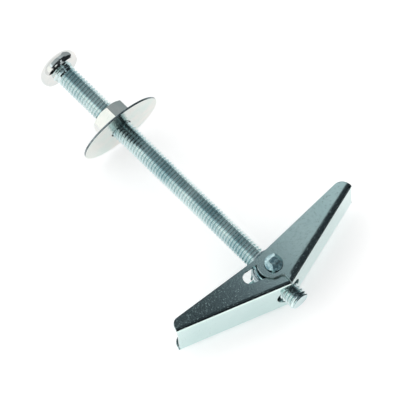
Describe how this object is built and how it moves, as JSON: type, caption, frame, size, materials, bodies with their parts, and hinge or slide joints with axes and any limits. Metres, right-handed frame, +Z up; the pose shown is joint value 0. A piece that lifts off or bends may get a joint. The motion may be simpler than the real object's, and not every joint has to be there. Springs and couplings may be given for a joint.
{
  "type": "spring toggle bolt",
  "caption": "Pan-head machine screw with a nut, a wide washer and a spring toggle of two folded wings that open behind a hollow wall.",
  "frame": {"origin": "centre of the screw head's bearing face, on the screw's axis", "axes": "+X towards the screw's tip (the axis dips 4.12 degrees below it, because the bolt lies on its washer's rim and a wing), +Y towards the wing whose outer flange is on top, +Z up"},
  "size_m": [0.0975, 0.0646, 0.0258],
  "materials": {
    "screw_zinc": "zinc plated, satin, faint blue-green cast",
    "bright_zinc": "zinc plated, bright",
    "sheet_zinc": "zinc plated rolled sheet, bright with fine rolling marks",
    "spring_wire": "drawn spring wire, zinc plated"
  },
  "bodies": {
    "screw": {"machine_screw": "screw_zinc"},
    "nut": {"hex_nut": "bright_zinc"},
    "loose_washer": {"washer": "bright_zinc"},
    "toggle": {"trunnion": "screw_zinc", "torsion_spring": "spring_wire"},
    "upper_wing": {"wing_upper": "sheet_zinc"},
    "lower_wing": {"wing_lower": "sheet_zinc"}
  },
  "joints": [
    {"name": "nut_travel", "type": "slide", "parent": "screw", "child": "nut", "axis": [0.9974, 0, -0.0719], "range_m": [-0.0168, 0]},
    {"name": "washer_slide", "type": "slide", "parent": "screw", "child": "loose_washer", "axis": [0.9974, 0, -0.0719], "range_m": [0, 0.012]},
    {"name": "toggle_travel", "type": "slide", "parent": "screw", "child": "toggle", "axis": [0.9974, 0, -0.0719], "range_m": [-0.012, 0.0054]},
    {"name": "upper_wing_fold", "type": "hinge", "parent": "toggle", "child": "upper_wing", "pos_m": [0.08199, 0, -0.00591], "axis": [0.0719, 0, 0.9974], "range_deg": [0, 76], "stiffness_Nm_per_rad": 0.014, "springref_deg": -91.67, "deforming": ["torsion_spring"]},
    {"name": "lower_wing_fold", "type": "hinge", "parent": "toggle", "child": "lower_wing", "pos_m": [0.08199, 0, -0.00591], "axis": [-0.0719, 0, -0.9974], "range_deg": [0, 76], "stiffness_Nm_per_rad": 0.014, "springref_deg": -91.67, "deforming": ["torsion_spring"]}
  ]
}
